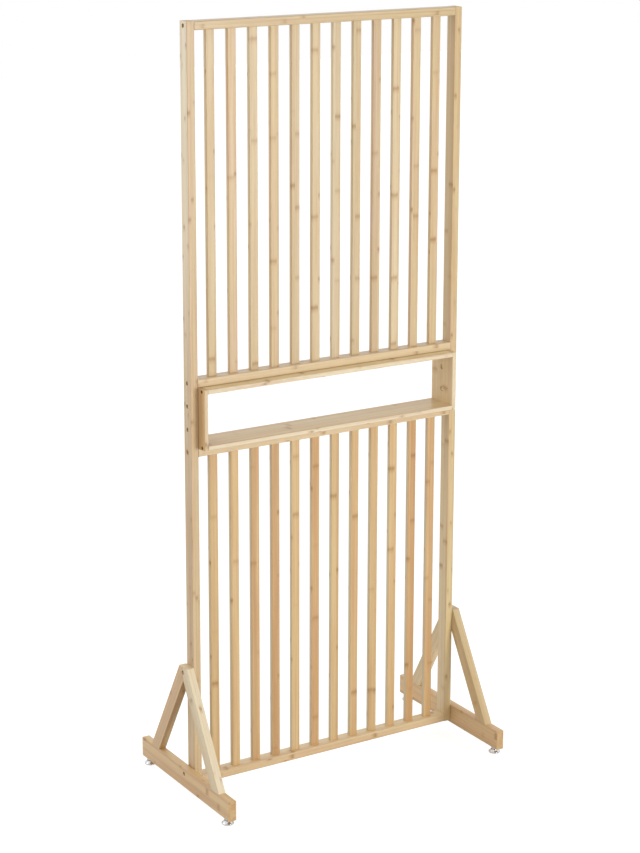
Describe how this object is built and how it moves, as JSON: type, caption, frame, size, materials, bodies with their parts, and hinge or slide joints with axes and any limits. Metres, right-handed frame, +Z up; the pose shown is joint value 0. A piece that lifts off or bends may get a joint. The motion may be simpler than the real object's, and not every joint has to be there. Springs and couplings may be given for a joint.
{
  "type": "slat room divider",
  "caption": "Free-standing bamboo slat screen with an open shelf box across its middle, A-shaped feet and screw-out levelling feet.",
  "frame": {"origin": "on the floor, at the centre of the object's footprint", "axes": "+X across the panel to its right seen from the front, -Y towards the front, +Z up"},
  "size_m": [0.712, 0.388, 1.65],
  "materials": {
    "bamboo": "satin lacquer over laminated bamboo",
    "bamboo_slat": "satin lacquer over bamboo strip",
    "bamboo_board": "satin lacquer over laminated bamboo",
    "zinc_steel": "yellow zinc plated",
    "zinc_insert": "yellow zinc plated",
    "beech_dowel": "raw",
    "chrome": "bright plated"
  },
  "bodies": {
    "frame": {"left_post": "bamboo", "right_post": "bamboo", "top_rail": "bamboo", "upper_mid_rail": "bamboo", "lower_mid_rail": "bamboo", "bottom_rail": "bamboo", "upper_slat_01": "bamboo_slat", "upper_slat_02": "bamboo_slat", "upper_slat_03": "bamboo_slat", "upper_slat_04": "bamboo_slat", "upper_slat_05": "bamboo_slat", "upper_slat_06": "bamboo_slat", "upper_slat_07": "bamboo_slat", "upper_slat_08": "bamboo_slat", "upper_slat_09": "bamboo_slat", "upper_slat_10": "bamboo_slat", "upper_slat_11": "bamboo_slat", "upper_slat_12": "bamboo_slat", "lower_slat_01": "bamboo_slat", "lower_slat_02": "bamboo_slat", "lower_slat_03": "bamboo_slat", "lower_slat_04": "bamboo_slat", "lower_slat_05": "bamboo_slat", "lower_slat_06": "bamboo_slat", "lower_slat_07": "bamboo_slat", "lower_slat_08": "bamboo_slat", "lower_slat_09": "bamboo_slat", "lower_slat_10": "bamboo_slat", "lower_slat_11": "bamboo_slat", "lower_slat_12": "bamboo_slat", "shelf_top_board": "bamboo_board", "shelf_bottom_board": "bamboo_board", "shelf_left_board": "bamboo_board", "shelf_right_board": "bamboo_board", "left_foot_beam": "bamboo", "right_foot_beam": "bamboo", "left_front_strut": "bamboo", "left_back_strut": "bamboo", "right_front_strut": "bamboo", "right_back_strut": "bamboo", "rail_bolts": "zinc_steel", "rail_inserts": "zinc_insert", "shelf_bolts": "zinc_steel", "sleeve_nuts": "zinc_steel", "shelf_screws": "zinc_steel", "foot_bolts": "zinc_steel", "post_inserts": "zinc_insert", "strut_dowels": "beech_dowel", "tee_nuts": "zinc_insert"},
    "front_left_pad": {"front_left_pad": "chrome"},
    "front_left_stud": {"front_left_stud": "chrome"},
    "front_right_pad": {"front_right_pad": "chrome"},
    "front_right_stud": {"front_right_stud": "chrome"},
    "back_left_pad": {"back_left_pad": "chrome"},
    "back_left_stud": {"back_left_stud": "chrome"},
    "back_right_pad": {"back_right_pad": "chrome"},
    "back_right_stud": {"back_right_stud": "chrome"}
  },
  "joints": [
    {"name": "front_left_lift", "type": "slide", "parent": "frame", "child": "front_left_pad", "axis": [0, 0, -1], "range_m": [0, 0.01]},
    {"name": "front_left_turn", "type": "hinge", "parent": "front_left_pad", "child": "front_left_stud", "pos_m": [-0.343, -0.174, 0], "axis": [0, 0, -1], "range_deg": [0, 2880]},
    {"name": "front_right_lift", "type": "slide", "parent": "frame", "child": "front_right_pad", "axis": [0, 0, -1], "range_m": [0, 0.01]},
    {"name": "front_right_turn", "type": "hinge", "parent": "front_right_pad", "child": "front_right_stud", "pos_m": [0.343, -0.174, 0], "axis": [0, 0, -1], "range_deg": [0, 2880]},
    {"name": "back_left_lift", "type": "slide", "parent": "frame", "child": "back_left_pad", "axis": [0, 0, -1], "range_m": [0, 0.01]},
    {"name": "back_left_turn", "type": "hinge", "parent": "back_left_pad", "child": "back_left_stud", "pos_m": [-0.343, 0.174, 0], "axis": [0, 0, -1], "range_deg": [0, 2880]},
    {"name": "back_right_lift", "type": "slide", "parent": "frame", "child": "back_right_pad", "axis": [0, 0, -1], "range_m": [0, 0.01]},
    {"name": "back_right_turn", "type": "hinge", "parent": "back_right_pad", "child": "back_right_stud", "pos_m": [0.343, 0.174, 0], "axis": [0, 0, -1], "range_deg": [0, 2880]}
  ],
  "couplings": [
    {"joint": "front_left_turn", "follows": "front_left_lift", "rad_per_m": 5026.5},
    {"joint": "front_right_turn", "follows": "front_right_lift", "rad_per_m": 5026.5},
    {"joint": "back_left_turn", "follows": "back_left_lift", "rad_per_m": 5026.5},
    {"joint": "back_right_turn", "follows": "back_right_lift", "rad_per_m": 5026.5}
  ]
}
